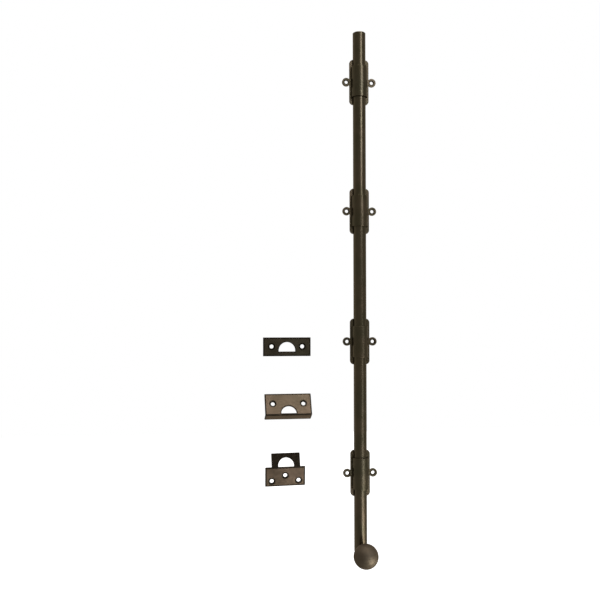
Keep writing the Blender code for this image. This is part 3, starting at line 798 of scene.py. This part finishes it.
def add_universal_strike():
    """A tongue with the half-round window above a wider three-hole plate, bent at their line."""
    t = STRIKE_THICKNESS
    holder = strike_holder(TEE_PLACE, TEE_HEIGHT * math.sin(TEE_LEAN) + t * math.cos(TEE_LEAN),
                           TEE_TURN)
    tall = TONGUE_HEIGHT + TONGUE_SUNK
    loops = [rectangle(TONGUE_WIDTH, tall, STRIKE_CORNER, (0, TONGUE_HEIGHT - tall / 2)),
             half_round(*TONGUE_WINDOW)]
    tongue = extruded("universal_strike_plate", loops, t, UPRIGHT, (0, t / 2, 0))
    soften(tongue, TONGUE_EDGE, 4, 40, lambda co: co.y < WELD and (
        abs(co.x) > TONGUE_WIDTH / 2 - 0.0012 or co.z > TONGUE_HEIGHT - 0.0012))
    tongue.data.transform(Matrix.Translation((*TONGUE_PLACE, 0))
                          @ Matrix.Rotation(-TONGUE_LEAN, 4, "X"))

    loops = [rectangle(TEE_WIDTH, TEE_HEIGHT, STRIKE_CORNER, (0, -TEE_HEIGHT / 2))]
    plate = extruded("tee_plate", loops, t, UPRIGHT, (0, t / 2, 0))
    soften(plate, WARM_EDGE, 4, 40, lambda co: co.y < WELD)
    tip = Matrix.Rotation(TEE_LEAN, 4, "X")
    plate.data.transform(tip)
    cut_sunk_holes(plate, TEE_HOLES, tip)
    combine(tongue, plate, "UNION")
    mark_holes(tongue.data, TEE_HOLES, STRIKE_SINK_RADIUS, tip)
    tongue.data.transform(holder)
    # painted shade: the tongue, above the plate's top edge, is darkened as if in shade
    finish(tongue, "fixed_set", "universal_strike",
           bronze("lit_warm_bronze_universal", LIT_TEE_DARK, LIT_TEE_LIGHT, WARM_RUBBED, roughness=0.42,
                  grain=ACROSS_PLATE,
                  plate=(holder @ tip, TEE_WIDTH, -TEE_HEIGHT, 0, TEE_HOLES)))


# ---- small steel pieces kept from the frame ------------------------------------------------
def finish_steel():
    steel = brushed_steel("brushed_steel_fine")
    names = ["stop_pin", "knob_screw"]
    for number in NUMBERS:
        names += ["friction_spring_%d" % number, "spring_rivet_%d" % number]
    for name in names:
        give_material(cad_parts[name].data, steel)


# ---- stage -------------------------------------------------------------------------------
CAMERA_PLACE = (-0.3376, -1.5688, -0.4888)
PAN, TILT, ROLL = math.radians(7.868), math.radians(1.696), math.radians(-0.06)
LENS = 47.6
FLOOR_HEIGHT = -1.95
FLOOR_HALF = 9.0
ROOM = 0.38                             # brightness in front of the object and behind it
BACKDROP = 0.75
TURN_TO_BACKDROP = (-0.3, 0.7)          # directions along Y between which one becomes the other
FILL = (1.0, 0.99, 0.96)
PAPER = (0.9, 0.9, 0.9)
COOL = (0.90, 0.96, 1.16)               # daylight beside the warmer room


def add_floor():
    mesh = bpy.data.meshes.new("floor")
    corners = [(x * FLOOR_HALF, y * FLOOR_HALF, 0) for x, y in ((-1, -1), (1, -1), (1, 1), (-1, 1))]
    mesh.from_pydata(corners, [], [(0, 1, 2, 3)])
    floor = new_object("floor", mesh)
    floor.location.z = FLOOR_HEIGHT
    material = bpy.data.materials.new("pale_floor")
    material.use_nodes = True
    shader = material.node_tree.nodes["Principled BSDF"]
    shader.inputs["Base Color"].default_value = (*PAPER, 1)
    shader.inputs["Roughness"].default_value = 0.9
    shader.inputs["Specular IOR Level"].default_value = 0.0
    shader.inputs["Emission Color"].default_value = (1, 1, 1, 1)
    shader.inputs["Emission Strength"].default_value = 1.0
    mesh.materials.append(material)
    floor.visible_glossy = False


def add_softbox(name, place, aim, width, height, radiance, colour=(1, 1, 1)):
    light = bpy.data.lights.new(name, "AREA")
    light.shape = "RECTANGLE"
    light.size = width
    light.size_y = height
    light.color = colour
    light.energy = math.pi * width * height * radiance
    lamp = bpy.data.objects.new(name, light)
    lamp.location = place
    lamp.rotation_euler = (Vector(aim) - Vector(place)).to_track_quat("-Z", "Y").to_euler()
    lamp.visible_camera = False
    bpy.context.scene.collection.objects.link(lamp)


def add_world():
    """White behind the object; it is lit by a paper backdrop and a darker room in front."""
    world = bpy.data.worlds.new("studio")
    world.use_nodes = True
    tree = world.node_tree
    seen = tree.nodes["Background"]
    seen.inputs["Color"].default_value = (1, 1, 1, 1)
    seen.inputs["Strength"].default_value = 1.0
    fill = tree.nodes.new("ShaderNodeBackground")
    fill.inputs["Color"].default_value = (*FILL, 1)
    direction = tree.nodes.new("ShaderNodeTexCoord")
    axes = tree.nodes.new("ShaderNodeSeparateXYZ")
    depth = tree.nodes.new("ShaderNodeMapRange")
    for index, number in zip(RANGE_SOCKETS, (*TURN_TO_BACKDROP, ROOM, BACKDROP)):
        depth.inputs[index].default_value = number
    path = tree.nodes.new("ShaderNodeLightPath")
    mix = tree.nodes.new("ShaderNodeMixShader")
    for source, target in ((direction.outputs["Generated"], axes.inputs[0]),
                           (axes.outputs["Y"], depth.inputs[0]),
                           (depth.outputs[0], fill.inputs["Strength"]),
                           (path.outputs["Is Camera Ray"], mix.inputs[0]),
                           (fill.outputs[0], mix.inputs[1]),
                           (seen.outputs[0], mix.inputs[2]),
                           (mix.outputs[0], tree.nodes["World Output"].inputs["Surface"])):
        tree.links.new(source, target)
    bpy.context.scene.world = world


def add_camera():
    data = bpy.data.cameras.new("camera")
    data.sensor_width = 36.0
    data.lens = LENS
    data.clip_start = 0.05
    camera = bpy.data.objects.new("camera", data)
    camera.matrix_world = (Matrix.Translation(CAMERA_PLACE) @ Matrix.Rotation(-PAN, 4, "Z")
                           @ Matrix.Rotation(math.radians(90) + TILT, 4, "X")
                           @ Matrix.Rotation(ROLL, 4, "Z"))
    bpy.context.scene.collection.objects.link(camera)
    bpy.context.scene.camera = camera


add_camera()
add_guides()
add_rod()
add_knob()
add_flat_strike()
add_angle_strike()
add_universal_strike()
finish_steel()
add_floor()
add_world()
add_softbox("key_softbox", (0.74, -1.48, 0.42), (0, 0, 0), 0.42, 0.7, 9.5, COOL)
add_softbox("mid_softbox", (0.98, -1.35, -0.85), (0, 0, -0.7), 0.3, 0.5, 3, COOL)
add_softbox("strike_softbox", (0.95, -3.00, 2.70), (-0.15, 0, -0.7), 2.2, 1.2, 3.2)
add_softbox("low_softbox", (0.68, -1.28, -1.45), (0, 0, -0.9), 0.6, 0.5, 7, COOL)
add_softbox("knob_softbox", (0.64, -0.58, -1.52), (0, -0.05, -0.94), 0.65, 0.6, 12)
add_softbox("top_softbox", (0.05, -0.30, 0.95), (0, 0, -0.5), 0.8, 0.6, 6)
bpy.context.scene.view_settings.view_transform = "Standard"
